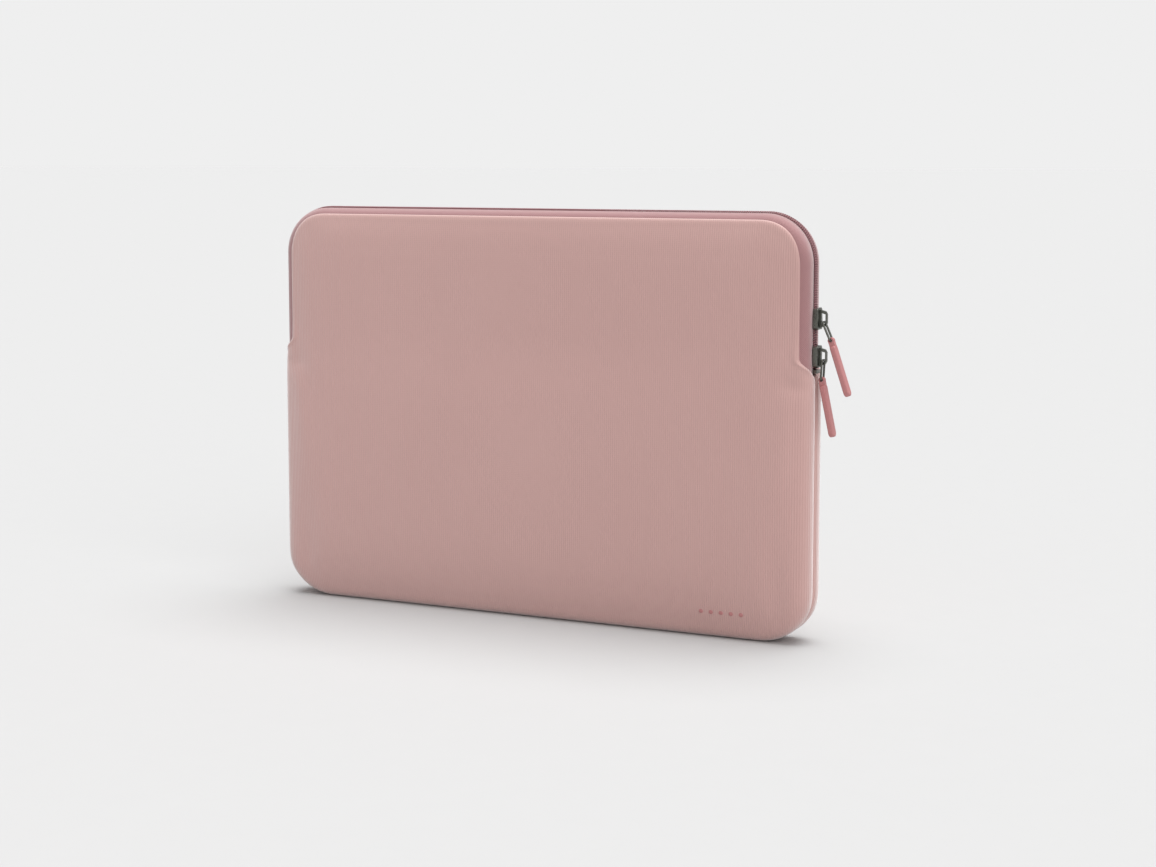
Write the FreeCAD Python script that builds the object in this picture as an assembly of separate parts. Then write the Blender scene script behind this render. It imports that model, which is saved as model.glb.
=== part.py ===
import FreeCAD, Part
import math
import os

V = FreeCAD.Vector

# A padded laptop sleeve standing on its long lower edge.
# Frame: +X to the right seen from the front, -Y towards the viewer, +Z up.
# The origin is the middle of the lower edge, on the floor. Lengths in mm, angles in degrees.

# Overall sizes of the closed sleeve.
SLEEVE_W = 338.0          # width along X: a 304 wide laptop, two walls and ease at both ends
SLEEVE_H = 240.0          # height along Z: a 215 deep laptop, two walls and ease
SLEEVE_T = 24.0           # thickness along Y: a 16 thick laptop between two walls
CORNER_R = 28.0           # outline corners
RIM_R = 6.0               # rounding where each face turns into the rim

# The wall is a laminate: outer knit, foam, inner lining.
KNIT_T = 0.6
FOAM_T = 2.4
LINING_T = 0.6

# The zip sits in a window cut in the rim: up the sides and across the top.
ZIP_END_Z = 151.0         # height of both ends of the window
WINDOW_EDGE = 0.4         # from each face to the edge of the window
WINDOW_TAPER = 9.0        # height over which an end widens
END_MARGIN = 0.7          # the narrow ends are this much wider than the coils
TAPE_T = 0.6
TAPE_GAP_HALF = 1.5       # the two tapes stop this far from the middle
TAPE_UNDER = 8.0          # how far the tapes reach under the knit of each face
TAPE_TAIL = 4.0           # tape hidden below the ends of the window
COIL_IN = 0.65            # the coils leave this much on each side of the middle
COIL_WIDE = 2.25          # width of each coil
COIL_RISE = 1.2           # coil standing above the rim
STOP_GAP = 0.8            # from the end of the window to the end stop
STOP_LEN = 2.0
STOP_RISE = 1.7
BINDING_T = 0.6
BINDING_IN = 5.2          # inner edge of the binding that covers the tape edge
SEAM_BINDING_HALF = 5.5
RUN = 0.3                 # clearance between parts that slide or turn on each other

# The front wall folds forward along a slanted line when the zip is open.
FOLD_OVER_END = 3.0       # the line starts this far above the taper at the left end of the zip
FOLD_OVER_SLIDER = 7.0    # and ends this far above the upper slider
FOLD_GAP = 0.3

# Zip sliders, on the right rim: the lower one parks over the end stop, the upper one above it.
SLIDER_LEN = 12.0
SLIDER_PARK = 1.2         # from the end stop to the lower slider
SLIDER_APART = 9.0        # between the mouths of the two sliders
FLANGE_T = 1.3            # side flange at the mouth
SLIDER_TAPER = 0.6        # the tail is this much narrower on each side
PLATE_T = 1.0
PLATE_EDGE_R = 0.4
NECK_LEN = 3.0
BAIL_HALF = 1.0
BAIL_LEN = 10.0
BAIL_RISE = 4.2
BAIL_WIRE = 0.9

# Pulls: a wire link hangs from the bail, a moulded grip hangs from the link.
LINK_DROP = 1.8           # the link hangs in the lower part of the bail, this far below its middle
LINK_WIRE_R = 0.6
LINK_LEN = 11.0           # between the middles of the two cross bars
LINK_HALF = 2.4           # half width between the middles of the two legs
LINK_CORNER_R = 1.2
GRIP_LEN = 32.0
GRIP_HALF = 2.8           # half width along Y
GRIP_THICK = 3.2
GRIP_EDGE_R = 0.9
GRIP_SHOULDER = 3.0       # from the eye to the wide part of the grip
GRIP_EYE_WALL = 0.8
LINK_A_TILT = -3.0
GRIP_A_TILT = 12.0
LINK_B_TILT = 24.0
GRIP_B_TILT = 18.5

# Insets of the layer boundaries, and other sizes that follow from the ones above.
FOAM_IN = KNIT_T
LINING_IN = FOAM_IN + FOAM_T
INSIDE = LINING_IN + LINING_T
TAPE_IN = FOAM_IN
TAPE_BACK = TAPE_IN + TAPE_T
BINDING_BACK = TAPE_BACK + BINDING_T
TAPE_TUCK = RIM_R + TAPE_UNDER
WINDOW_HALF = SLEEVE_T / 2 - WINDOW_EDGE
COIL_OUT = COIL_IN + COIL_WIDE
WINDOW_END_HALF = COIL_OUT + END_MARGIN
STOP_HALF = COIL_OUT + RUN
STOP_Z = ZIP_END_Z + STOP_GAP
STOP_TOP = STOP_Z + STOP_LEN
SLIDER_A_Z = STOP_TOP + SLIDER_PARK + SLIDER_LEN / 2
SLIDER_B_Z = SLIDER_A_Z + SLIDER_LEN + SLIDER_APART
FOLD_LEFT_Z = ZIP_END_Z + WINDOW_TAPER + FOLD_OVER_END
FOLD_RIGHT_Z = SLIDER_B_Z + SLIDER_LEN / 2 + FOLD_OVER_SLIDER
FLANGE_IN = COIL_OUT + RUN
SLIDER_WIDE = FLANGE_IN + FLANGE_T
SLIDER_NARROW = SLIDER_WIDE - SLIDER_TAPER
NECK_HALF = COIL_IN - RUN
GRIP_NECK_HALF = LINK_HALF - LINK_WIRE_R - RUN
GRIP_EYE_R = LINK_WIRE_R + RUN
PLATE_UP = COIL_RISE + RUN
PLATE_DOWN = -TAPE_BACK - RUN
BAIL_BASE = PLATE_UP + PLATE_T
PIVOT_OUT = BAIL_BASE + BAIL_RISE / 2
RIM_X = SLEEVE_W / 2
FAR = 2 * SLEEVE_W        # larger than the whole sleeve, for cutting blocks


def polygon_prism(points, direction):
    """Closed polygon through the points, swept along a vector."""
    ring = Part.makePolygon(points + [points[0]])
    return Part.Face(ring).extrude(direction)


def block(x0, x1, y0, y1, z0, z1):
    """Box between two corners."""
    return Part.makeBox(x1 - x0, y1 - y0, z1 - z0, V(x0, y0, z0))


def outline_prism(inset, depth):
    """The outline drawn in by an inset, with its round corners, swept through a depth in Y."""
    width = SLEEVE_W - 2 * inset
    height = SLEEVE_H - 2 * inset
    body = Part.makeBox(width, depth, height, V(-width / 2, -depth / 2, inset))
    corners = [e for e in body.Edges if abs(e.tangentAt(0).y) > 0.9]
    return body.makeFillet(CORNER_R - inset, corners)


def slab(inset):
    """The whole closed form drawn in by an inset on every side, rim rounding included."""
    depth = SLEEVE_T - 2 * inset
    body = outline_prism(inset, depth)
    rims = [e for e in body.Edges if abs(abs(e.CenterOfMass.y) - depth / 2) < 1e-6]
    return body.makeFillet(RIM_R - inset, rims)


def layer(outer, inner):
    """A closed skin between two insets."""
    return slab(outer).cut(slab(inner))


def window_band(clear):
    """The window seen along X, narrowed by a clearance and swept across the sleeve."""
    wide = WINDOW_HALF - clear
    narrow = WINDOW_END_HALF - clear
    low = ZIP_END_Z + clear
    shoulder = low + WINDOW_TAPER
    shape = [(-narrow, low), (narrow, low), (wide, shoulder), (wide, FAR), (-wide, FAR), (-wide, shoulder)]
    return polygon_prism([V(-FAR, y, z) for y, z in shape], V(2 * FAR, 0, 0))


def above_fold(gap):
    """Everything above the fold line, starting a gap above it (below it for a negative gap)."""
    slope = (FOLD_RIGHT_Z - FOLD_LEFT_Z) / SLEEVE_W
    middle = (FOLD_RIGHT_Z + FOLD_LEFT_Z) / 2
    rise = gap * math.sqrt(1 + slope * slope)
    left = V(-FAR, -FAR, middle - slope * FAR + rise)
    right = V(FAR, -FAR, middle + slope * FAR + rise)
    return polygon_prism([left, right, V(FAR, -FAR, FAR), V(-FAR, -FAR, FAR)], V(0, 2 * FAR, 0))


# Blocks that sort the skins into front, back, flap and zip window.
front_side = block(-FAR, FAR, -FAR, 0, -FAR, FAR)
back_side = block(-FAR, FAR, 0, FAR, -FAR, FAR)
flap_zone = above_fold(FOLD_GAP / 2)
flap_and_gap = above_fold(-FOLD_GAP / 2)
window = window_band(0).cut(outline_prism(INSIDE, FAR))

knit = layer(0, FOAM_IN).cut(window)
foam = layer(FOAM_IN, LINING_IN).cut(window)
lining = layer(LINING_IN, INSIDE).cut(window)

# Zip tapes: a strip under each panel edge, showing in the window.
tape_ring = layer(TAPE_IN, TAPE_BACK).cut(outline_prism(TAPE_TUCK, FAR))
tape_ring = tape_ring.common(block(-FAR, FAR, -FAR, FAR, ZIP_END_Z - TAPE_TAIL, FAR))
tape_back = tape_ring.common(block(-FAR, FAR, TAPE_GAP_HALF, FAR, -FAR, FAR))
tape_front = tape_ring.common(block(-FAR, FAR, -FAR, -TAPE_GAP_HALF, -FAR, FAR))
free_zone = flap_zone.fuse(window_band(RUN).cut(outline_prism(INSIDE - RUN, FAR)))
tape_front = tape_front.common(free_zone)

# Bindings: a ribbon behind each tape, out to the lining, and one over the lower seam.
# Both front ones stop short of the fixed part of the wall, because they bend with the flap.
binding_ring = layer(TAPE_BACK, BINDING_BACK).common(window)
binding_back = binding_ring.common(block(-FAR, FAR, BINDING_IN, FAR, -FAR, FAR))
binding_front = binding_ring.common(block(-FAR, FAR, -FAR, -BINDING_IN, -FAR, FAR))
binding_front = binding_front.common(free_zone)
seam_end = ZIP_END_Z - TAPE_TAIL
seam_band = block(-FAR, FAR, -SEAM_BINDING_HALF, SEAM_BINDING_HALF, -FAR, seam_end)
seam_binding = layer(INSIDE, INSIDE + BINDING_T).common(seam_band)

# Coils: two ridges along the inner edges of the tapes, from stop to stop.
coil_low = STOP_TOP + RUN
coil_ring = outline_prism(-COIL_RISE, 2 * COIL_OUT).cut(outline_prism(TAPE_IN, FAR))
coil_back = coil_ring.common(block(-FAR, FAR, COIL_IN, COIL_OUT, coil_low, FAR))
coil_front = coil_ring.common(block(-FAR, FAR, -COIL_OUT, -COIL_IN, coil_low, FAR))

nodes = {}
nodes["back_shell"] = knit.common(back_side)
nodes["back_foam"] = foam.common(back_side).cut(tape_back)
nodes["back_lining"] = lining.common(back_side)
nodes["front_shell"] = knit.common(front_side).cut(flap_and_gap)
nodes["front_foam"] = foam.common(front_side).cut(flap_and_gap)
nodes["front_lining"] = lining.common(front_side).cut(flap_and_gap)
nodes["flap_shell"] = knit.common(front_side).common(flap_zone)
nodes["flap_foam"] = foam.common(front_side).common(flap_zone).cut(tape_front)
nodes["flap_lining"] = lining.common(front_side).common(flap_zone)
nodes["zip_tape_back"] = tape_back
nodes["zip_tape_front"] = tape_front
nodes["zip_coil_back"] = coil_back
nodes["zip_coil_front"] = coil_front
nodes["zip_binding_back"] = binding_back
nodes["zip_binding_front"] = binding_front
nodes["seam_binding"] = seam_binding


def end_stop(side):
    """Clamp over both coils at one end of the zip; it is fixed to the rear tape."""
    lift = RUN - TAPE_IN
    crown = block(lift, STOP_RISE, -STOP_HALF, STOP_HALF, STOP_Z, STOP_TOP)
    foot = block(-TAPE_IN, lift, TAPE_GAP_HALF, STOP_HALF, STOP_Z, STOP_TOP)
    stop = crown.fuse(foot).removeSplitter()
    if side < 0:
        stop = stop.mirror(V(0, 0, 0), V(1, 0, 0))
    stop.translate(V(side * RIM_X, 0, 0))
    return stop


nodes["zip_stop_left"] = end_stop(-1)
nodes["zip_stop_right"] = end_stop(1)


def slider_plate(out0, out1):
    """Shield-shaped plate lying along Z, mouth at the lower end, between two heights above the rim."""
    half = SLIDER_LEN / 2
    cut = 1.0
    shape = [
        (SLIDER_WIDE - cut, -half),
        (SLIDER_WIDE, cut - half),
        (SLIDER_WIDE, -cut),
        (SLIDER_NARROW, half - cut),
        (SLIDER_NARROW - cut, half),
    ]
    shape = shape + [(-y, z) for y, z in reversed(shape)]
    return polygon_prism([V(out0, y, z) for y, z in shape], V(out1 - out0, 0, 0))


def slider_body():
    """Slider casting: outer plate with two side flanges, neck, inner plate."""
    half = SLIDER_LEN / 2
    inner_out = PLATE_DOWN - PLATE_T
    cover = slider_plate(PLATE_UP, BAIL_BASE)
    crest = [e for e in cover.Edges if abs(e.CenterOfMass.x - BAIL_BASE) < 1e-6]
    cover = cover.makeFillet(PLATE_EDGE_R, crest)
    keel = slider_plate(inner_out, PLATE_DOWN)
    flanges = slider_plate(RUN - TAPE_IN, PLATE_UP)
    flanges = flanges.cut(block(-FAR, FAR, -FLANGE_IN, FLANGE_IN, -half, half))
    neck = block(PLATE_DOWN, PLATE_UP, -NECK_HALF, NECK_HALF, PLATE_EDGE_R - half, NECK_LEN - half)
    return cover.multiFuse([keel, flanges, neck]).removeSplitter()


def slider_bail():
    """Bridge on the outer plate, with an eye through it along Y for the link."""
    foot = BAIL_LEN / 2
    shoulder = foot - BAIL_WIRE
    crown = BAIL_LEN / 4
    top = BAIL_BASE + BAIL_RISE
    knee = top - BAIL_WIRE
    outer = [(BAIL_BASE, -foot), (knee, -shoulder), (top, -crown), (top, crown), (knee, shoulder)]
    outer.append((BAIL_BASE, foot))
    body = polygon_prism([V(x, -BAIL_HALF, z) for x, z in outer], V(0, 2 * BAIL_HALF, 0))
    floor = BAIL_BASE + BAIL_WIRE
    ceiling = top - BAIL_WIRE
    eye = [(floor, BAIL_WIRE - shoulder), (ceiling, -crown), (ceiling, crown), (floor, shoulder - BAIL_WIRE)]
    hole = polygon_prism([V(x, -FAR, z) for x, z in eye], V(0, 2 * FAR, 0))
    return body.cut(hole)


def pull_link():
    """Round wire bent into a closed loop: upper bar at the origin, lower bar a link length below."""
    y = LINK_HALF
    r = LINK_CORNER_R
    low = -LINK_LEN
    k = r * (1 - math.sqrt(0.5))
    path = [
        Part.makeLine(V(0, r - y, 0), V(0, y - r, 0)),
        Part.Arc(V(0, y - r, 0), V(0, y - k, -k), V(0, y, -r)).toShape(),
        Part.makeLine(V(0, y, -r), V(0, y, low + r)),
        Part.Arc(V(0, y, low + r), V(0, y - k, low + k), V(0, y - r, low)).toShape(),
        Part.makeLine(V(0, y - r, low), V(0, r - y, low)),
        Part.Arc(V(0, r - y, low), V(0, k - y, low + k), V(0, -y, low + r)).toShape(),
        Part.makeLine(V(0, -y, low + r), V(0, -y, -r)),
        Part.Arc(V(0, -y, -r), V(0, k - y, -k), V(0, r - y, 0)).toShape(),
    ]
    section = Part.Wire([Part.makeCircle(LINK_WIRE_R, V(0, r - y, 0), V(0, 1, 0))])
    return Part.Wire(path).makePipeShell([section], True, True)


def pull_grip():
    """Moulded grip hanging down from an eye at the origin; the eye runs along Y."""
    half = GRIP_THICK / 2
    low = -GRIP_LEN
    blade = block(-half, half, -GRIP_HALF, GRIP_HALF, low, -GRIP_SHOULDER)
    ends = [e for e in blade.Edges if abs(e.tangentAt(0).x) > 0.9]
    tips = [e for e in ends if e.CenterOfMass.z < low + 1]
    blade = blade.makeFillet(GRIP_HALF - RUN, tips)
    shoulders = [e for e in blade.Edges if abs(e.tangentAt(0).x) > 0.9 and e.CenterOfMass.z > -GRIP_LEN / 2]
    blade = blade.makeFillet(GRIP_HALF - GRIP_NECK_HALF, shoulders)
    rims = [e for e in blade.Edges if abs(abs(e.CenterOfMass.x) - half) < 1e-6]
    blade = blade.makeFillet(GRIP_EDGE_R, rims)
    boss_r = GRIP_EYE_R + GRIP_EYE_WALL
    boss = Part.makeCylinder(boss_r, 2 * GRIP_NECK_HALF, V(0, -GRIP_NECK_HALF, 0), V(0, 1, 0))
    neck = block(-half, half, -GRIP_NECK_HALF, GRIP_NECK_HALF, -GRIP_SHOULDER - 2 * GRIP_EDGE_R, 0)
    eye = Part.makeCylinder(GRIP_EYE_R, 2 * FAR, V(0, -FAR, 0), V(0, 1, 0))
    return blade.multiFuse([boss, neck]).cut(eye).removeSplitter()


def add_slider(name, height, mouth_up, link_tilt, grip_tilt):
    """One slider on the right rim with its bail, link and grip, tilted outwards as they hang."""
    body = slider_body()
    bail = slider_bail()
    if mouth_up:
        body = body.mirror(V(0, 0, 0), V(0, 0, 1))
    place = V(RIM_X, 0, height)
    body.translate(place)
    bail.translate(place)
    pivot = V(RIM_X + PIVOT_OUT, 0, height - LINK_DROP)
    outwards = V(0, -1, 0)
    link = pull_link()
    link.rotate(V(0, 0, 0), outwards, link_tilt)
    link.translate(pivot)
    tilt = math.radians(link_tilt)
    reach = V(LINK_LEN * math.sin(tilt), 0, -LINK_LEN * math.cos(tilt))
    grip = pull_grip()
    grip.rotate(V(0, 0, 0), outwards, grip_tilt)
    grip.translate(pivot + reach)
    nodes[name + "_body"] = body
    nodes[name + "_bail"] = bail
    nodes[name + "_link"] = link
    nodes[name + "_grip"] = grip


add_slider("slider_a", SLIDER_A_Z, True, LINK_A_TILT, GRIP_A_TILT)
add_slider("slider_b", SLIDER_B_Z, False, LINK_B_TILT, GRIP_B_TILT)

os.makedirs("parts", exist_ok=True)
for name, shape in nodes.items():
    if len(shape.Solids) != 1 or not shape.isValid():
        print("not one sound solid:", name, len(shape.Solids))
    single = shape.Solids[0] if len(shape.Solids) == 1 else shape
    single.exportStep("parts/" + name + ".step")
    print("%-18s %10.1f mm3" % (name, single.Volume))
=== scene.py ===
# %% [markdown]
# # A padded laptop sleeve
#
# The sleeve is two padded panels sewn together along their lower edges and joined by a zip round the upper
# half. Each panel is a laminate: a ribbed knit outside, foam in the middle, a soft lining inside. We start
# by loading the measured frame: rigid bodies, joints and plain solids. Everything that is cloth is then
# made again here as a mesh of its own in exactly the same place, and the metal keeps its measured shape.

# %% Load the frame
import math
import bmesh
import bpy
import numpy as np
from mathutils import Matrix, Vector
from mathutils.bvhtree import BVHTree


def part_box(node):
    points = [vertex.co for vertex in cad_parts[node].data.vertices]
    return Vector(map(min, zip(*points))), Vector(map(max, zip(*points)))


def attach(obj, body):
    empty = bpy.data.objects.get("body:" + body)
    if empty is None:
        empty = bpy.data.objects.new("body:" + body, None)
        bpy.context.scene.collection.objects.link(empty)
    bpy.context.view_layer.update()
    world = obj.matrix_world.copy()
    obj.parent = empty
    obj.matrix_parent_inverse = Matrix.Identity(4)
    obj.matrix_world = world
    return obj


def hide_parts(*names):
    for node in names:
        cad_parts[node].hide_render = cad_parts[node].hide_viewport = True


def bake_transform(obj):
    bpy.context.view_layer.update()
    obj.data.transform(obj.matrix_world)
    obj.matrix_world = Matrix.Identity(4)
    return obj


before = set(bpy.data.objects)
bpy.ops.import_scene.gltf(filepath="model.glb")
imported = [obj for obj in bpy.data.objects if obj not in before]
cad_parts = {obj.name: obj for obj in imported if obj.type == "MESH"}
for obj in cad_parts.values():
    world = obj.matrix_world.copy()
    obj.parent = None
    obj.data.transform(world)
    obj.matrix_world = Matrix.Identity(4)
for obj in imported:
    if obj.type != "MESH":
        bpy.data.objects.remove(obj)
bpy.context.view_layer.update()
mm = 0.001

# %% [markdown]
# ## Sizes of the closed sleeve
#
# The outline is a rectangle with round corners. Read from the frame, the rear wall gives the width, the
# height and the thickness, so nothing is typed twice. The other numbers are the maker's own: how the face
# turns into the rim, how thick each layer is, and how far in from the outline the hem beside the zip lies.
# It lies further in on the sides than along the top. A length along the cross-section, from the middle of
# the rim over its rounding to the face, is called `a` all through.

# %% Sizes
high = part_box("back_shell")[1]
coil_rise = 1.2
stop_gap = 0.8
half_w = high.x / mm
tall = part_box("zip_coil_back")[1].z / mm - coil_rise
half_t = high.y / mm
corner_r = 28.0
rim_r = 6.0
knit_and_foam = 3.0
wall = 3.6
zip_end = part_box("zip_stop_right")[0].z / mm - stop_gap
zip_taper = 9.0
hem_inset = 5.2
hem_inset_top = 3.4
rim_flat = half_t - rim_r


def a_of_inset(inset):
    return rim_flat + rim_r * math.acos((rim_r - inset) / rim_r)


face_a = a_of_inset(rim_r)
window_a = a_of_inset(hem_inset)
window_top_a = a_of_inset(hem_inset_top)
last_a = face_a + corner_r - rim_r
print("width %.1f, height %.1f, thickness %.1f" % (2 * half_w, tall, 2 * half_t))

# %% [markdown]
# ## Camera
#
# The sleeve stands on its long edge, seen a little from the right and from a little above its top edge. A
# long lens far away keeps the top edge almost level. The camera's own right and back directions are worked
# out first, so that its place is a distance back, a distance aside and a height.

# %% Camera
turn = math.radians(25.06)
pitch = 0.1066
away = 1165.0
aside = 22.5
eye_z = 270.6
back = Vector((math.sin(turn), -math.cos(turn), 0))
right = Vector((math.cos(turn), math.sin(turn), 0))
camera = bpy.data.objects.new("camera", bpy.data.cameras.new("camera"))
bpy.context.collection.objects.link(camera)
camera.location = (back * away + right * aside + Vector((0, 0, eye_z))) * mm
look = -back * math.cos(pitch) - Vector((0, 0, 1)) * math.sin(pitch)
camera.rotation_mode = "QUATERNION"
camera.rotation_quaternion = look.to_track_quat("-Z", "Y")
camera.data.sensor_width = 36.0
camera.data.lens = 62.2
camera.data.shift_y = -0.055
camera.data.clip_start, camera.data.clip_end = 0.05, 50
bpy.context.scene.camera = camera
print("camera at", [round(v, 3) for v in camera.location])


# %% [markdown]
# A finish is a small tree of nodes. These helpers keep the trees short: `node` adds one node and fills its
# inputs, `maths` and `scaled` do arithmetic on a value, `tint` reads a colour, and `finish_of` starts a
# material with its shader and sets the shader's own numbers. `group_with` makes a node group and `placed`
# puts it in a tree.

# %% Material helpers
def node(tree, kind, inputs=None, **props):
    made = tree.nodes.new(kind)
    for key, value in props.items():
        setattr(made, key, value)
    for key, value in (inputs or {}).items():
        if isinstance(value, bpy.types.NodeSocket):
            tree.links.new(value, made.inputs[key])
        else:
            made.inputs[key].default_value = value
    return made


def maths(tree, operation, first, second=0.0):
    return node(tree, "ShaderNodeMath", {0: first, 1: second}, operation=operation).outputs[0]


def scaled(tree, value, factor, plus):
    return node(tree, "ShaderNodeMath", {0: value, 1: factor, 2: plus}, operation="MULTIPLY_ADD").outputs[0]


def tint(hexed):
    values = [int(hexed[i:i + 2], 16) / 255 for i in (0, 2, 4)]
    return tuple(v / 12.92 if v <= 0.04045 else ((v + 0.055) / 1.055) ** 2.4 for v in values) + (1.0,)


def finish_of(name, roughness, metallic=0.0, **numbers):
    material = bpy.data.materials.new(name)
    material.use_nodes = True
    shader = material.node_tree.nodes["Principled BSDF"]
    shader.inputs["Roughness"].default_value = roughness
    shader.inputs["Metallic"].default_value = metallic
    for key, value in numbers.items():
        shader.inputs[key.replace("_", " ")].default_value = value
    return material, material.node_tree, shader


def wear(obj, material):
    obj.data.materials.clear()
    obj.data.materials.append(material)


def group_with(name, inputs, outputs):
    group = bpy.data.node_groups.new(name, "ShaderNodeTree")
    for label, kind, value in inputs:
        socket = group.interface.new_socket(label, in_out="INPUT", socket_type=kind)
        if value is not None:
            socket.default_value = value
    for label, kind in outputs:
        group.interface.new_socket(label, in_out="OUTPUT", socket_type=kind)
    return group, group.nodes.new("NodeGroupInput").outputs, group.nodes.new("NodeGroupOutput")


def placed(tree, group, **numbers):
    made = tree.nodes.new("ShaderNodeGroup")
    made.node_tree = group
    for key, value in numbers.items():
        key = key.replace("_", " ")
        if isinstance(value, bpy.types.NodeSocket):
            tree.links.new(value, made.inputs[key])
        else:
            made.inputs[key].default_value = value
    return made.outputs


print("helpers ready")

# %% [markdown]
# Four effects are shared by several cloths. `Ribbed knit` is the outer fabric: upright ribs, each a chain
# of small loops, with a Shade that is painted shade, darker where the ribs lie low. `Plain weave` is for
# tape and binding: threads over and under. `Fibre` is the fine fuzz that breaks up every fabric. The last
# group mixes in a deeper colour: the slow change of tone over a hand's width that real cloth has, and,
# where its mask is the height of ribs or threads, painted shade between them.

# %% Shared effects
ribs, rib_in, rib_out = group_with(
    "Ribbed knit",
    [("Place", "NodeSocketVector", None), ("Rib spacing", "NodeSocketFloat", 0.0013),
     ("Loop spacing", "NodeSocketFloat", 0.0011)],
    [("Height", "NodeSocketFloat"), ("Shade", "NodeSocketFloat")])
across = node(ribs, "ShaderNodeSeparateXYZ", {0: rib_in["Place"]}).outputs
rib_turn = maths(ribs, "MULTIPLY", maths(ribs, "DIVIDE", across[0], rib_in["Rib spacing"]), 2 * math.pi)
rib_wave = scaled(ribs, maths(ribs, "SINE", rib_turn), 0.5, 0.5)
lean = maths(ribs, "MULTIPLY", maths(ribs, "COSINE", rib_turn), 1.4)
loop_turn = maths(ribs, "MULTIPLY", maths(ribs, "DIVIDE", across[1], rib_in["Loop spacing"]), 2 * math.pi)
loop_wave = maths(ribs, "SINE", maths(ribs, "ADD", loop_turn, lean))
loops_on = maths(ribs, "MULTIPLY", loop_wave, 0.08)
total = maths(ribs, "ADD", maths(ribs, "MULTIPLY", rib_wave, 0.92), loops_on)
ribs.links.new(total, rib_out.inputs["Height"])
# Painted shade: Shade is the rib height again, so the knit's colour deepens where the ribs lie low.
ribs.links.new(scaled(ribs, total, 0.5, 0.5), rib_out.inputs["Shade"])

weave, weave_in, weave_out = group_with(
    "Plain weave",
    [("Place", "NodeSocketVector", None), ("Thread spacing", "NodeSocketFloat", 0.0006)],
    [("Height", "NodeSocketFloat")])
run = node(weave, "ShaderNodeSeparateXYZ", {0: weave_in["Place"]}).outputs
turns = [maths(weave, "MULTIPLY", maths(weave, "DIVIDE", run[i], weave_in["Thread spacing"]), math.pi)
         for i in (0, 1)]
over = maths(weave, "MULTIPLY", maths(weave, "SINE", turns[0]), maths(weave, "SINE", turns[1]))
weave.links.new(scaled(weave, over, 0.5, 0.5), weave_out.inputs["Height"])

fibre, fibre_in, fibre_out = group_with(
    "Fibre", [("Size", "NodeSocketFloat", 0.0004)], [("Height", "NodeSocketFloat")])
where = node(fibre, "ShaderNodeTexCoord").outputs["Object"]
fine = maths(fibre, "DIVIDE", 1.0, fibre_in["Size"])
fuzz = node(fibre, "ShaderNodeTexNoise", {"Vector": where, "Scale": fine, "Detail": 3.0, "Roughness": 0.6})
fibre.links.new(fuzz.outputs["Fac"], fibre_out.inputs["Height"])

dye, dye_and_shade_in, dye_and_shade_out = group_with(
    "Uneven dye",
    [("Colour", "NodeSocketColor", (1, 1, 1, 1)), ("Deep colour", "NodeSocketColor", (0.5, 0.5, 0.5, 1)),
     ("Mask", "NodeSocketFloat", 1.0)],
    [("Colour", "NodeSocketColor")])
where = node(dye, "ShaderNodeTexCoord").outputs["Object"]
patch = node(dye, "ShaderNodeTexNoise", {"Vector": where, "Scale": 14.0, "Detail": 4.0, "Roughness": 0.55})
spread = node(dye, "ShaderNodeMapRange", {0: patch.outputs["Fac"], 1: 0.3, 2: 0.75, 3: 0.0, 4: 0.1})
# Deeper where the noise is high, which is uneven dye, and where the mask is low, which for ribs and threads
# is painted shade.
depth = maths(dye, "ADD", spread.outputs[0], maths(dye, "SUBTRACT", 1.0, dye_and_shade_in["Mask"]))
blend_colour = node(dye, "ShaderNodeMix", data_type="RGBA")
dye.links.new(depth, blend_colour.inputs["Factor"])
dye.links.new(dye_and_shade_in["Colour"], blend_colour.inputs[6])
dye.links.new(dye_and_shade_in["Deep colour"], blend_colour.inputs[7])
dye.links.new(blend_colour.outputs[2], dye_and_shade_out.inputs["Colour"])
print("node groups:", [g.name for g in bpy.data.node_groups])


# %% [markdown]
# Each cloth finish puts its own values into those groups: the pattern's height goes to a bump, the
# pattern's height also paints shade, deepening the colour between ribs and threads where they lie low,
# and a soft sheen on the shader stands for the fuzz that catches light at grazing angles.

# %% Cloth finishes
def cloth(name, colour, deep, pattern=None, spacing=None, bump=0.5, fuzz_size=0.0004, sheen=0.25, rough=0.85,
          gloss=0.3):
    material, tree, shader = finish_of(name, rough, Sheen_Weight=sheen, Sheen_Roughness=0.5)
    shader.inputs["Sheen Tint"].default_value = (1.0, 0.97, 0.97, 1.0)
    shader.inputs["Specular IOR Level"].default_value = gloss
    place = node(tree, "ShaderNodeUVMap", uv_map="cloth").outputs[0]
    small = placed(tree, fibre, Size=fuzz_size)["Height"]
    height = small
    mask = small
    if pattern == "ribs":
        knitted = placed(tree, ribs, Place=place, **spacing)
        height = maths(tree, "ADD", knitted["Height"], maths(tree, "MULTIPLY", small, 0.35))
        # Painted shade: the ribs' Shade is the colour mask, deepening the knit between ribs.
        mask = knitted["Shade"]
    if pattern == "weave":
        woven = placed(tree, weave, Place=place, **spacing)
        height = maths(tree, "ADD", woven["Height"], maths(tree, "MULTIPLY", small, 0.3))
        # Painted shade: the thread height is also the colour mask, so the cloth deepens where threads dip
        # under.
        mask = woven["Height"]
    # For ribs and weave this mask is painted shade; for plain fibre it is random tone.
    mask = scaled(tree, mask, 0.35, 0.65)
    toned = placed(tree, dye, Colour=tint(colour), Deep_colour=tint(deep), Mask=mask)["Colour"]
    tree.links.new(toned, shader.inputs["Base Color"])
    raised = node(tree, "ShaderNodeBump", {"Height": height, "Strength": bump, "Distance": 0.0003})
    tree.links.new(raised.outputs[0], shader.inputs["Normal"])
    return material


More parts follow.
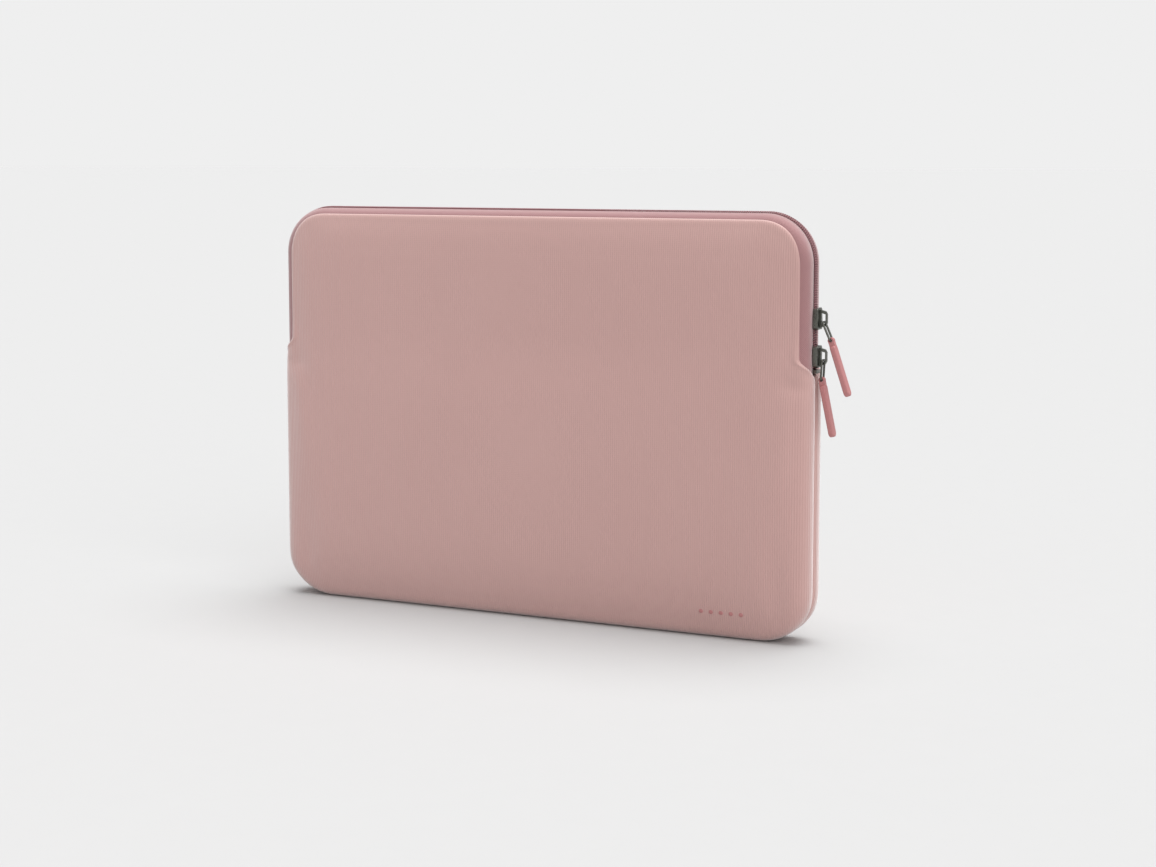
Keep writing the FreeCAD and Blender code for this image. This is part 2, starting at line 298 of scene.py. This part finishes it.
knit_spacing = {"Rib_spacing": 0.0013, "Loop_spacing": 0.0011}
knit_finish = cloth("ribbed_knit", "C99F99", "AC7D78", "ribs", knit_spacing, 0.55, sheen=1.0,
                    rough=0.55, gloss=0.7)
tape_finish = cloth("woven_tape", "AC7F80", "865B5D", "weave", {"Thread_spacing": 0.0006}, 0.6,
                    sheen=0.6, gloss=0.5)
lining_finish = cloth("brushed_lining", "8C7674", "6E5A58", None, None, 0.7, 0.0008, 0.5, 0.95)
binding_finish = cloth("binding", "A57774", "875C5A", "weave", {"Thread_spacing": 0.0008}, 0.6)
print("cloth finishes:", 4)

# %% [markdown]
# The zip's coils are drawn nylon, the sliders are cast metal with a grey plating worn brighter on edges,
# and the grips are moulded soft rubber with a fine grain.

# %% Hard finishes
coil_finish, tree, shader = finish_of("nylon_coil", 0.42, Coat_Weight=0.1)
small = placed(tree, fibre, Size=0.0006)["Height"]
toned = placed(tree, dye, Colour=tint("A57378"), Deep_colour=tint("86595D"), Mask=small)["Colour"]
tree.links.new(toned, shader.inputs["Base Color"])

metal_finish, tree, shader = finish_of("plated_metal", 0.34, 1.0)
grime = placed(tree, fibre, Size=0.0009)["Height"]
worn = node(tree, "ShaderNodeMapRange", {0: grime, 1: 0.35, 2: 0.7, 3: 0.26, 4: 0.48}).outputs[0]
toned = placed(tree, dye, Colour=tint("85867F"), Deep_colour=tint("494A44"), Mask=grime)["Colour"]
tree.links.new(toned, shader.inputs["Base Color"])
tree.links.new(worn, shader.inputs["Roughness"])
cast = node(tree, "ShaderNodeBump", {"Height": grime, "Strength": 0.15, "Distance": 0.0001})
tree.links.new(cast.outputs[0], shader.inputs["Normal"])

grip_finish, tree, shader = finish_of("moulded_grip", 0.55, Coat_Weight=0.05)
grain = placed(tree, fibre, Size=0.0005)["Height"]
toned = placed(tree, dye, Colour=tint("C98A89"), Deep_colour=tint("A5696A"), Mask=grain)["Colour"]
tree.links.new(toned, shader.inputs["Base Color"])
grained = node(tree, "ShaderNodeBump", {"Height": grain, "Strength": 0.3, "Distance": 0.0001})
tree.links.new(grained.outputs[0], shader.inputs["Normal"])
print("hard finishes: coil, metal, grip")


# %% [markdown]
# ## The outline as a path
#
# Every cloth piece follows the same outline, so one function walks round it. `outline_at` takes a distance
# in mm from the lower left corner, anticlockwise seen from the front, and gives the point and the
# direction straight out of the rim. `section` then places a point of the rim's cross-section: `a` runs
# over the wall from the middle of the rim on to the face, and `deep` is how far under the outer surface it
# lies.

# %% Path and section
straight_x = half_w - corner_r
straight_z = tall - 2 * corner_r
quarter = corner_r * math.pi / 2
runs = [2 * straight_x, quarter, straight_z, quarter, 2 * straight_x, quarter, straight_z, quarter]
starts = np.concatenate([[0.0], np.cumsum(runs)])
around = starts[-1]
corner_mid = [(straight_x, corner_r), (straight_x, tall - corner_r),
              (-straight_x, tall - corner_r), (-straight_x, corner_r)]
side_start = [(-straight_x, 0.0), (half_w, corner_r), (straight_x, tall), (-half_w, tall - corner_r)]
side_way = [(1, 0), (0, 1), (-1, 0), (0, -1)]
side_out = [(0, -1), (1, 0), (0, 1), (-1, 0)]


def outline_at(t):
    t = t % around
    k = int(np.searchsorted(starts, t, side="right")) - 1
    k = min(k, 7)
    step = t - starts[k]
    side = k // 2
    if k % 2 == 0:
        (x, z), (dx, dz) = side_start[side], side_way[side]
        return (x + dx * step, z + dz * step), side_out[side]
    angle = -math.pi / 2 + side * math.pi / 2 + step / corner_r
    out = (math.cos(angle), math.sin(angle))
    x, z = corner_mid[side]
    return (x + corner_r * out[0], z + corner_r * out[1]), out


def section(a, deep):
    if a <= rim_flat:
        return -deep, a, (1.0, 0.0)
    if a <= face_a:
        angle = (a - rim_flat) / rim_r
        reach = rim_r - deep
        return (reach * math.cos(angle) - rim_r, rim_flat + reach * math.sin(angle),
                (math.cos(angle), math.sin(angle)))
    return -rim_r - (a - face_a), half_t - deep, (0.0, 1.0)


def placed_point(spot, out, n, y, side):
    return (spot[0] + out[0] * n, side * y, spot[1] + out[1] * n)


zip_from = starts[2] + zip_end - corner_r
zip_to = starts[6] + tall - corner_r - zip_end
print("outline %.0f mm, zip %.0f mm" % (around, zip_to - zip_from))


# %% [markdown]
# ## Helpers that make meshes
#
# `mesh_piece` turns points and faces into an object and stores where each point lies in the cloth, so that
# ribs and threads follow the cloth round the edges. `strip` sweeps a closed cross-section along part of the
# outline: tapes and bindings are strips.

# %% Mesh helpers
def mesh_piece(name, points, faces, cloth_at=None, smooth=True):
    data = bpy.data.meshes.new(name)
    data.from_pydata([tuple(c * mm for c in p) for p in points], [], faces)
    if cloth_at is not None:
        layer = data.uv_layers.new(name="cloth")
        for loop in data.loops:
            u, v = cloth_at[loop.vertex_index]
            layer.data[loop.index].uv = (u * mm, v * mm)
    tool = bmesh.new()
    tool.from_mesh(data)
    bmesh.ops.recalc_face_normals(tool, faces=tool.faces)
    tool.to_mesh(data)
    tool.free()
    if smooth:
        data.polygons.foreach_set("use_smooth", [True] * len(data.polygons))
    made = bpy.data.objects.new(name, data)
    bpy.context.collection.objects.link(made)
    return made


def apply_modifiers(obj):
    graph = bpy.context.evaluated_depsgraph_get()
    solid = bpy.data.meshes.new_from_object(obj.evaluated_get(graph), depsgraph=graph)
    solid.name = obj.name
    old = obj.data
    obj.modifiers.clear()
    obj.data = solid
    bpy.data.meshes.remove(old)


def strip(name, t_list, cut, side):
    points, spots, faces = [], [], []
    count = len(cut)
    for t in t_list:
        spot, out = outline_at(t)
        for n, y, v in cut:
            points.append(placed_point(spot, out, n, y, side))
            spots.append((t, v))
    for i in range(len(t_list) - 1):
        for j in range(count):
            k = (j + 1) % count
            faces.append((i * count + j, i * count + k, (i + 1) * count + k, (i + 1) * count + j))
    last = (len(t_list) - 1) * count
    faces.append(tuple(range(count)))
    faces.append(tuple(last + j for j in range(count)))
    return mesh_piece(name, points, faces, spots)


print("mesh helpers ready")

# %% [markdown]
# ## The stations of a panel
#
# A panel is drawn as rings that follow the outline, from its sewn edge over the rim and in over the face,
# and a square grid that fills the middle. The rings meet the grid where the corner arcs shrink to a point.
# That gives even squares, which bend and inflate well. Stations are closer together near the ends of the
# zip, where the edge swings from the middle of the rim out to the face.

# %% Stations
cols = np.linspace(-straight_x, straight_x, 71)
rows = np.unique(np.concatenate([np.arange(corner_r, 140, 4.0), np.arange(140, 168, 1.4),
                                 np.linspace(168, tall - corner_r, 12)]))
corner_steps = 9
stations = []
grid_spot = []
for side in range(4):
    line = cols if side % 2 == 0 else rows - corner_r
    length = runs[2 * side]
    forward = line + straight_x if side == 0 else line
    if side == 0:
        ts, keys = forward, [(i, 0) for i in range(len(cols))]
    elif side == 1:
        ts, keys = forward, [(len(cols) - 1, j) for j in range(len(rows))]
    elif side == 2:
        ts, keys = (straight_x - cols)[::-1], [(i, len(rows) - 1) for i in range(len(cols))][::-1]
    else:
        ts, keys = (length - line)[::-1], [(0, j) for j in range(len(rows))][::-1]
    stations += [starts[2 * side] + t for t in ts]
    grid_spot += keys
    for i in range(1, corner_steps):
        stations.append(starts[2 * side + 1] + quarter * i / corner_steps)
        grid_spot.append(keys[-1])
near_edge = [0.0, 0.12, 0.45, 0.9, 1.5]
ring_share = [(i / 13) ** 1.35 for i in range(1, 13)]
print("stations:", len(stations), "grid:", len(cols), "x", len(rows),
      "rings:", len(near_edge) + len(ring_share))


# %% [markdown]
# ## Where a panel's edge lies
#
# Below the zip the two panels meet in the middle of the rim. Above it each edge is set back almost to the
# face, which leaves the window for the zip. `edge_a` gives that edge. `swell` is how far foam pushes the
# knit out beside the seam: most along the lower sides, less beside the zip, nothing where the sleeve
# stands. `ease` is a smooth step from 0 to 1 between two places.

# %% Edge and swell
def ease(x, start, end):
    s = min(max((x - start) / (end - start), 0.0), 1.0)
    return s * s * (3 - 2 * s)


seam_gap = 0.12
coil_room = 3.4
swell_all_round = 0.35
swell_below_zip = 1.05


def edge_a(spot):
    opening = coil_room * ease(spot[1], zip_end - 1.5, zip_end + 1.0)
    hem_a = window_a + (window_top_a - window_a) * ease(spot[1], tall - 24, tall - 1)
    widened = (hem_a - seam_gap - coil_room) * ease(spot[1], zip_end - 0.5, zip_end + zip_taper)
    return seam_gap + opening + widened


def ring_a(spot, ring):
    edge = edge_a(spot)
    if ring < len(near_edge):
        return edge + near_edge[ring]
    first = edge + near_edge[-1]
    return first + (last_a - first) * ring_share[ring - len(near_edge)]


def swell(spot, out, a):
    below = 1.0 - ease(spot[1], zip_end - 8, zip_end + 8)
    standing = ease(out[1], -1.0, -0.3)
    amount = (swell_all_round + swell_below_zip * below) * standing
    return amount * ease(a - edge_a(spot), 0.0, 3.5) * (1.0 - ease(a, face_a - 2.0, face_a + 16.0))


ring_count = len(near_edge) + len(ring_share)
spots = [outline_at(t) for t in stations]
beside = edge_a((half_w, zip_end + 20))
print("edge on the lower rim at %.1f, beside the zip at %.1f mm from the middle" % (edge_a((0, 0)), beside))


# %% [markdown]
# ## The soft bulge of a panel
#
# Foam panels sewn together stand away from each other a little, like a cushion that is only just filled.
# The honest way to get that form is to let cloth do it: a single sheet with the panel's stations is held
# along its rim, pushed out by gentle pressure with gravity off, and let go for twenty steps. The push is
# then softly limited, because foam resists: the edges crown and the middle stays almost flat. The result
# is one distance for each station and grid point, and every layer of the panel uses the same one.

# %% Cloth step
last_frame = 20


def quads(ring_ids, grid_ids):
    faces = []
    inner = [grid_ids[key] for key in grid_spot]
    for one, two in zip(ring_ids, ring_ids[1:] + [inner]):
        for s in range(len(stations)):
            e = (s + 1) % len(stations)
            faces.append(tuple(dict.fromkeys([one[s], one[e], two[e], two[s]])))
    for i in range(len(cols) - 1):
        for j in range(len(rows) - 1):
            faces.append((grid_ids[i, j], grid_ids[i + 1, j], grid_ids[i + 1, j + 1], grid_ids[i, j + 1]))
    return faces


def skin(points, side, deep_of_ring, deep, push):
    ring_ids, grid_ids = [], {}
    for ring in range(ring_count):
        row = []
        for k, (spot, out) in enumerate(spots):
            a = ring_a(spot, ring)
            n, y, (across_n, across_y) = section(a, deep_of_ring(ring))
            soft = swell(spot, out, a)
            row.append(len(points))
            lift = push[len(row) - 1 + ring * len(spots)] if push is not None else 0.0
            points.append(placed_point(spot, out, n + across_n * soft, y + across_y * soft + lift, side))
        ring_ids.append(row)
    for i, x in enumerate(cols):
        for j, z in enumerate(rows):
            grid_ids[i, j] = len(points)
            at = ring_count * len(spots) + i * len(rows) + j
            points.append((x, side * (half_t - deep + (push[at] if push is not None else 0.0)), z))
    return ring_ids, grid_ids


def inflated(pressure=4.0):
    points = []
    ring_ids, grid_ids = skin(points, -1, lambda ring: 0.0, 0.0, None)
    sheet = mesh_piece("cloth_step", points, quads(ring_ids, grid_ids))
    held = sheet.vertex_groups.new(name="held")
    fixed = [row[k] for ring, row in enumerate(ring_ids) for k in range(len(spots))
             if ring_a(spots[k][0], ring) < face_a]
    held.add(fixed, 1.0, "REPLACE")
    soft = sheet.modifiers.new("Cloth", "CLOTH")
    soft.settings.quality = 6
    soft.settings.mass = 0.3
    soft.settings.tension_stiffness = soft.settings.compression_stiffness = 40
    soft.settings.shear_stiffness = 20
    soft.settings.bending_stiffness = 8
    soft.settings.vertex_group_mass = "held"
    soft.settings.use_pressure = True
    soft.settings.uniform_pressure_force = pressure
    soft.settings.effector_weights.gravity = 0.0
    soft.point_cache.frame_start, soft.point_cache.frame_end = 1, last_frame
    for step in range(1, last_frame + 1):
        bpy.context.scene.frame_set(step)
    graph = bpy.context.evaluated_depsgraph_get()
    pushed = sheet.evaluated_get(graph).to_mesh()
    moved = np.array([v.co.y for v in pushed.vertices]) / mm
    bpy.context.scene.frame_set(1)
    bpy.data.objects.remove(sheet)
    return np.array(points)[:, 1] - moved


raw_push = inflated()
grid_raw = raw_push[ring_count * len(spots):].reshape(len(cols), len(rows))
middle = len(rows) // 3
print("cloth pushed out by %.2f to %.2f mm" % (raw_push.min(), raw_push.max()))
print("across the middle:", [round(float(v), 2) for v in grid_raw[::6, middle]])

# %% [markdown]
# The push is limited smoothly to what the foam allows. The foam also swells up at once behind the hem,
# which gives the panel its round shoulder. Where the zip ends, the hem swings out to the seam and pinches
# the panel: a small lip along the hem and a dip below it.

# %% Limit the push
most_push = 3.8
gain = 2.2
shoulder_rise, shoulder_run = 1.5, 8.0
lip_high, lip_behind_hem, lip_half = 0.8, 2.4, 1.8
dip_deep, dip_under_end, dip_half_tall, dip_half_wide = 1.2, 6.5, 4.5, 6.0
ring_from_rim = np.array([ring_a(spot, ring) - face_a for ring in range(ring_count) for spot, out in spots])
from_rim = np.concatenate([ring_from_rim, np.full(grid_raw.size, 99.0)])
gentle = np.array([ease(v, -0.5, 3.0) for v in from_rim])
push = most_push * np.tanh(gain * np.maximum(raw_push, 0.0) / most_push) * gentle
behind_hem = from_rim + face_a - window_a
push += shoulder_rise * (1.0 - np.exp(-np.maximum(behind_hem, 0.0) / shoulder_run))


def hem_pinch(spot, a):
    above_end = spot[1] - zip_end
    lip = lip_high * math.exp(-((a - edge_a(spot) - lip_behind_hem) / lip_half) ** 2)
    lip *= ease(above_end, -4, 0) * (1.0 - ease(above_end, 9, 22))
    tall_share = (above_end + dip_under_end) / dip_half_tall
    wide_share = (a - face_a - 1.0) / dip_half_wide
    return lip - dip_deep * math.exp(-tall_share ** 2 - wide_share ** 2)


pinch = [hem_pinch(spot, ring_a(spot, ring)) for ring in range(ring_count) for spot, out in spots]
push[:len(pinch)] += np.array(pinch)
print("push now %.2f to %.2f mm" % (push.min(), push.max()))


# %% [markdown]
# ## The panels
#
# A layer of a panel is a closed body: an outer skin, an inner skin and a rounded edge where they meet,
# which is the rolled hem beside the zip and the crease of the seam below it. The front panel is one piece
# from the bottom to the zip, and the knit and foam under it are one body because they are bonded
# together. The same code makes the back panel and both linings.

# %% Panel layers
def layer(name, side, top, bottom, material, slot):
    half = (bottom - top) / 2
    depth = (bottom + top) / 2

    def off(ring):
        reach = near_edge[ring] / half if ring < len(near_edge) else 1.0
        return half * math.sqrt(1 - (1 - min(reach, 1.0)) ** 2)

    points = []
    outer, outer_grid = skin(points, side, lambda ring: depth - off(ring), top, push)
    inner, inner_grid = skin(points, side, lambda ring: depth + off(ring), bottom, push)
    inner[0] = outer[0]
    faces = quads(outer, outer_grid) + quads(inner, inner_grid)
    used = sorted({i for face in faces for i in face})
    new_id = {old: new for new, old in enumerate(used)}
    flat = []
    for _ in ("outer", "inner"):
        for ring in range(ring_count):
            for spot, out in spots:
                n = face_a - rim_r - ring_a(spot, ring)
                flat.append((spot[0] + out[0] * n, spot[1] + out[1] * n))
        flat += [(x, z) for x in cols for z in rows]
    made = mesh_piece(name, [points[i] for i in used], [tuple(new_id[i] for i in face) for face in faces],
                      [flat[i] for i in used])
    smooth = made.modifiers.new("Subdivision", "SUBSURF")
    smooth.levels = smooth.render_levels = 1
    apply_modifiers(made)
    wear(made, material)
    print("%s: %d faces" % (name, len(made.data.polygons)))
    return made


front_panel = layer("front_panel", -1, 0.0, knit_and_foam, knit_finish, "knit")
back_panel = layer("back_panel", 1, 0.0, knit_and_foam, knit_finish, "knit")
front_lining = layer("front_inner_lining", -1, knit_and_foam + 0.05, wall, lining_finish, "lining")
back_lining = layer("back_inner_lining", 1, knit_and_foam + 0.05, wall, lining_finish, "lining")

# %% [markdown]
# ## Tapes and bindings
#
# Each zip tape is a woven strip whose inner edge carries the coil. It runs along the outline just under
# the surface and disappears beneath the hem. A narrow binding covers the raw edge inside the opening, and
# a wider one covers the seam allowance inside the lower half.

# %% Strips
tape_tail = 4.0
zip_line = np.unique(np.concatenate([
    np.linspace(zip_from - tape_tail, starts[3], 40), np.linspace(starts[3], starts[4], 20),
    np.linspace(starts[4], starts[5], 70), np.linspace(starts[5], starts[6], 20),
    np.linspace(starts[6], zip_to + tape_tail, 40)]))


def band_cut(first, last, top, bottom, steps=8):
    upper = [(first + (last - first) * i / steps, top) for i in range(steps + 1)]
    lower = [(a, bottom) for a, _ in upper[::-1]]
    middle = (top + bottom) / 2
    cut = []
    for a, deep in [(first - 0.2, middle)] + upper + [(last + 0.2, middle)] + lower:
        n, y, _ = section(max(a, 0.0), deep)
        cut.append((n, y, a))
    return cut


def soft_strip(name, t_list, cut, side, material):
    made = strip(name, t_list, cut, side)
    wear(made, material)
    return made


tape_start, tape_under_hem, tape_deep, tape_t = 2.5, 5.0, 0.6, 0.6
tape_cut = band_cut(tape_start, window_a + tape_under_hem, tape_deep, tape_deep + tape_t)
tape_back = soft_strip("woven_tape_back", zip_line, tape_cut, 1, tape_finish)
tape_front = soft_strip("woven_tape_front", zip_line, tape_cut, -1, tape_finish)
binding_start, binding_under_hem, binding_deep, binding_t = 5.4, 3.0, 1.22, 0.58
binding_cut = band_cut(binding_start, window_a + binding_under_hem, binding_deep, binding_deep + binding_t)
binding_back = soft_strip("inner_binding_back", zip_line, binding_cut, 1, binding_finish)
binding_front = soft_strip("inner_binding_front", zip_line, binding_cut, -1, binding_finish)

lower_line = np.linspace(zip_to + tape_tail, around + zip_from - tape_tail, 190)
seam_half = [(-3.66, 2.7), (-3.72, 5.3), (-3.95, 5.5), (-4.14, 5.3), (-4.2, 2.7)]
seam_cut = [(-3.66, 0.0, 0.0)] + [(n, y, y) for n, y in seam_half]
seam_cut += [(-4.2, 0.0, 0.0)] + [(n, -y, -y) for n, y in seam_half[::-1]]
seam_inside = soft_strip("seam_tape_inside", lower_line, seam_cut, 1, binding_finish)
print("strips:", [o.name for o in (tape_back, tape_front, binding_back, binding_front, seam_inside)])


# %% [markdown]
# ## The coils
#
# A coil zip is two springs of nylon wire, flattened and sewn to the tapes. Closing it meshes the loops of
# one with the loops of the other. So each coil is drawn as its wire: a flattened helix with a loop every
# 1.3 mm, the front one half a loop later than the back one. Between the two sliders the coils stand apart.

# %% Coils
loop_pitch = 1.3
wire_r = 0.3
coil_mid, coil_deep = -0.25, 0.4
coil_y, coil_half = 1.52, 1.28
coil_end_gap = 3.4
parted = 0.75
flatness = 0.8
between_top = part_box("slider_b_body")[0].z / mm + 4.0


def wire_mesh(name, path, radius, sides=6):
    path = np.array(path)
    ahead = np.gradient(path, axis=0)
    ahead /= np.linalg.norm(ahead, axis=1)[:, None]
    up = np.cross(ahead[0], (0.3, 0.5, 0.8))
    points, faces = [], []
    for i, (spot, way) in enumerate(zip(path, ahead)):
        up = up - way * np.dot(up, way)
        up /= np.linalg.norm(up)
        over = np.cross(way, up)
        for j in range(sides):
            angle = 2 * math.pi * j / sides
            points.append(tuple(spot + radius * (math.cos(angle) * up + math.sin(angle) * over)))
        if i:
            for j in range(sides):
                k = (j + 1) % sides
                faces.append(((i - 1) * sides + j, (i - 1) * sides + k, i * sides + k, i * sides + j))
    faces.append(tuple(range(sides)))
    faces.append(tuple(len(points) - sides + j for j in range(sides)))
    return mesh_piece(name, points, faces)


def squared(value):
    return math.copysign(abs(value) ** flatness, value)


def coil_path(side, shift, per_loop=12):
    first, last = zip_from + coil_end_gap, zip_to - coil_end_gap
    path = []
    for i in range(int((last - first) / loop_pitch * per_loop)):
        turn_now = 2 * math.pi * i / per_loop
        t = first + loop_pitch * (i / per_loop + shift)
        spot, out = outline_at(t)
        apart = parted if spot[0] > 0 and spot[1] < between_top else 0.0
        y = coil_y + apart * 0.4 + (coil_half - apart * 0.2) * squared(math.cos(turn_now))
        n = coil_mid + coil_deep * squared(math.sin(turn_now))
        path.append(placed_point(spot, out, n, y, side))
    return path


coil_back = wire_mesh("coil_wire_back", coil_path(1, 0.0), wire_r)
coil_front = wire_mesh("coil_wire_front", coil_path(-1, 0.5), wire_r)
for coil in (coil_back, coil_front):
    wear(coil, coil_finish)
print("coil faces:", len(coil_back.data.polygons), len(coil_front.data.polygons))

# %% [markdown]
# ## The mark
#
# A plain row of five raised dots sits low on the right of the face, where the maker's tag would be. Each is
# a low dome that follows the surface under it.

# %% Dots
graph = bpy.context.evaluated_depsgraph_get()
face_tree = BVHTree.FromObject(front_panel, graph)
dot_count, dot_apart = 5, 6.0
first_dot_x, dot_z = 108.0, 15.5
dot_rings = ((1.3, -0.2), (1.3, 0.02), (1.15, 0.16), (0.75, 0.24))
dot_top, dot_under = 0.26, 0.2
sides = 20
points, faces = [], []
for i in range(dot_count):
    in_front = Vector((first_dot_x + dot_apart * i, -40, dot_z)) * mm
    base = face_tree.ray_cast(in_front, Vector((0, 1, 0)))[0] / mm
    first = len(points)
    for radius, rise in dot_rings:
        for k in range(sides):
            angle = 2 * math.pi * k / sides
            across, up = radius * math.cos(angle), radius * math.sin(angle)
            points.append((base.x + across, base.y - rise, base.z + up))
    points += [(base.x, base.y - dot_top, base.z), (base.x, base.y + dot_under, base.z)]
    last_ring, crown = first + (len(dot_rings) - 1) * sides, first + len(dot_rings) * sides
    for k in range(sides):
        e = (k + 1) % sides
        for start in range(first, last_ring, sides):
            faces.append((start + k, start + e, start + sides + e, start + sides + k))
        faces.append((last_ring + k, last_ring + e, crown))
        faces.append((first + e, first + k, crown + 1))
dots = mesh_piece("raised_dots", points, faces)
wear(dots, grip_finish)
print("dots:", len(dots.data.polygons), "faces")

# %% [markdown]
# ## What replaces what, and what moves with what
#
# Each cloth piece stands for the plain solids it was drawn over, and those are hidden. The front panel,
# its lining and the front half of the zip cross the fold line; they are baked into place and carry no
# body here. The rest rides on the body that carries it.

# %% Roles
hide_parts("front_shell", "flap_shell", "front_foam", "flap_foam")
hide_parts("back_shell", "back_foam")
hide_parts("front_lining", "flap_lining")
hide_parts("back_lining")
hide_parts("zip_tape_back")
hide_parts("zip_tape_front")
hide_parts("zip_coil_back")
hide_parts("zip_coil_front")
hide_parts("zip_binding_back")
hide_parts("zip_binding_front")
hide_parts("seam_binding")

for piece in (back_panel, back_lining, tape_back, coil_back, binding_back, seam_inside, dots):
    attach(piece, "pouch")

for piece in (front_panel, front_lining, tape_front, coil_front, binding_front):
    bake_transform(piece)

for name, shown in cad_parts.items():
    if name.endswith("grip"):
        finish = grip_finish
    elif name.startswith("slider") or name.startswith("zip_stop"):
        finish = metal_finish
    else:
        continue
    shown.data.materials.clear()
    shown.data.materials.append(finish)

# %% [markdown]
# ## Ground and light
#
# The ground is a very wide flat sheet, and its tone under this light is that of the surround behind it, so
# there is no horizon. One large soft light hangs almost overhead and a little behind, which brightens the
# top edge and throws a short soft shadow to the front. A weaker one comes from the front right, and the
# pale surround fills the shadows. Rays from the camera see a brighter surround than the one that lights
# the sleeve.

# %% Ground and light
ground_half = 40.0 / mm
ground_points = [(x * ground_half, y * ground_half, 0.0) for x, y in ((-1, -1), (1, -1), (1, 1), (-1, 1))]
ground = mesh_piece("ground", ground_points, [(0, 1, 2, 3)], smooth=False)
ground_finish, tree, shader = finish_of("ground_paper", 1.0)
shader.inputs["Specular IOR Level"].default_value = 0.0
speck = placed(tree, fibre, Size=0.02)["Height"]
paper, paper_deep = (0.503, 0.503, 0.503, 1), (0.495, 0.495, 0.495, 1)
toned = placed(tree, dye, Colour=paper, Deep_colour=paper_deep, Mask=speck)["Colour"]
tree.links.new(toned, shader.inputs["Base Color"])
wear(ground, ground_finish)


def far_light(name, azimuth, height, strength, softness):
    lamp = bpy.data.lights.new(name, "SUN")
    lamp.energy = strength
    lamp.angle = math.radians(softness)
    made = bpy.data.objects.new(name, lamp)
    az, el = math.radians(azimuth), math.radians(height)
    way = Vector((math.sin(az) * math.cos(el), -math.cos(az) * math.cos(el), math.sin(el)))
    made.rotation_mode = "QUATERNION"
    made.rotation_quaternion = (-way).to_track_quat("-Z", "Y")
    bpy.context.collection.objects.link(made)


far_light("overhead", 150, 82, 3.4, 50)
far_light("front", 50, 30, 0.9, 50)
backdrop, fill_light = 0.863, 0.5
world = bpy.data.worlds.new("surround")
world.use_nodes = True
sky = world.node_tree
plain = sky.nodes["Background"]
plain.inputs["Color"].default_value = (1, 1, 1, 1)
plain.inputs["Strength"].default_value = fill_light
seen = node(sky, "ShaderNodeBackground", {"Color": (1, 1, 1, 1), "Strength": backdrop})
direct = node(sky, "ShaderNodeLightPath").outputs["Is Camera Ray"]
mixed = node(sky, "ShaderNodeMixShader", {0: direct, 1: plain.outputs[0], 2: seen.outputs[0]})
sky.links.new(mixed.outputs[0], sky.nodes["World Output"].inputs["Surface"])
bpy.context.scene.world = world
bpy.context.scene.view_settings.view_transform = "Standard"
